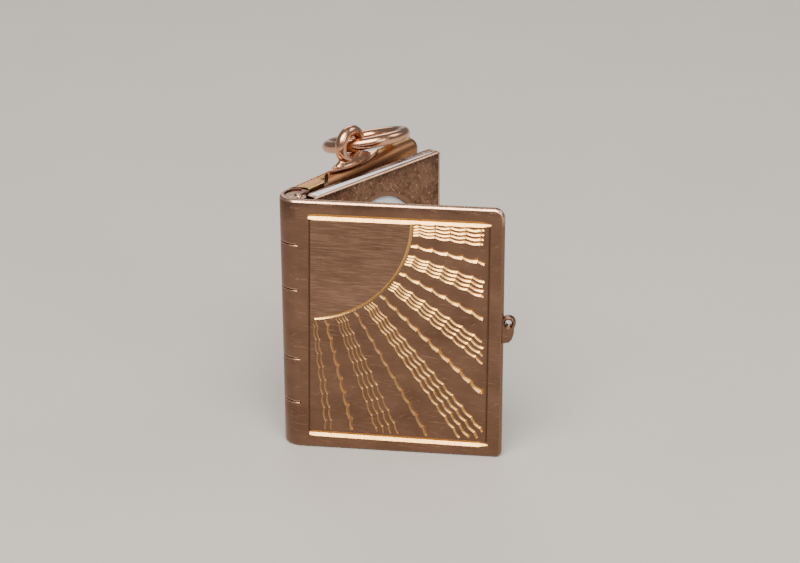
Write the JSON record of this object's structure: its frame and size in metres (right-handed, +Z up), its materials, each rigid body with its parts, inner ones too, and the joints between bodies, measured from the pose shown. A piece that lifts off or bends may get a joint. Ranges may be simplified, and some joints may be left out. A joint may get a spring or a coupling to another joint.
{
  "type": "book locket",
  "caption": "Small hinged locket shaped like an open book, with an engraved front cover, a framed leaf for pictures, a hanging loop and a jump ring.",
  "frame": {"origin": "middle of the footprint's bounding box, on the plane of the lower edges", "axes": "+Z up along the spine, +X from the spine towards the front cover's outer edge, -Y the way the engraved face looks"},
  "size_m": [0.0176, 0.016, 0.023],
  "materials": {
    "rose_gold": "satin rose gold with fine brushing and wear",
    "leaf_gold": "scratched polished rose gold",
    "yellow_gold": "worn yellow gold",
    "card": null
  },
  "bodies": {
    "front": {"front_cover": "rose_gold", "hinge_pin": "yellow_gold"},
    "back": {"back_cover": "rose_gold", "back_frame": "yellow_gold", "back_card": "card", "jump_ring": "rose_gold"},
    "leaf_page": {"leaf": "leaf_gold", "leaf_card": "card"}
  },
  "joints": [
    {"name": "cover_hinge", "type": "hinge", "parent": "front", "child": "back", "pos_m": [-0.00737, -0.00664, 0.01], "axis": [0, 0, 1], "range_deg": [-60, 25]},
    {"name": "leaf_hinge", "type": "hinge", "parent": "front", "child": "leaf_page", "pos_m": [-0.00737, -0.00664, 0.01], "axis": [0, 0, 1], "range_deg": [-54, 22.5]}
  ],
  "couplings": [
    {"joint": "leaf_hinge", "follows": "cover_hinge", "ratio": 0.9}
  ]
}
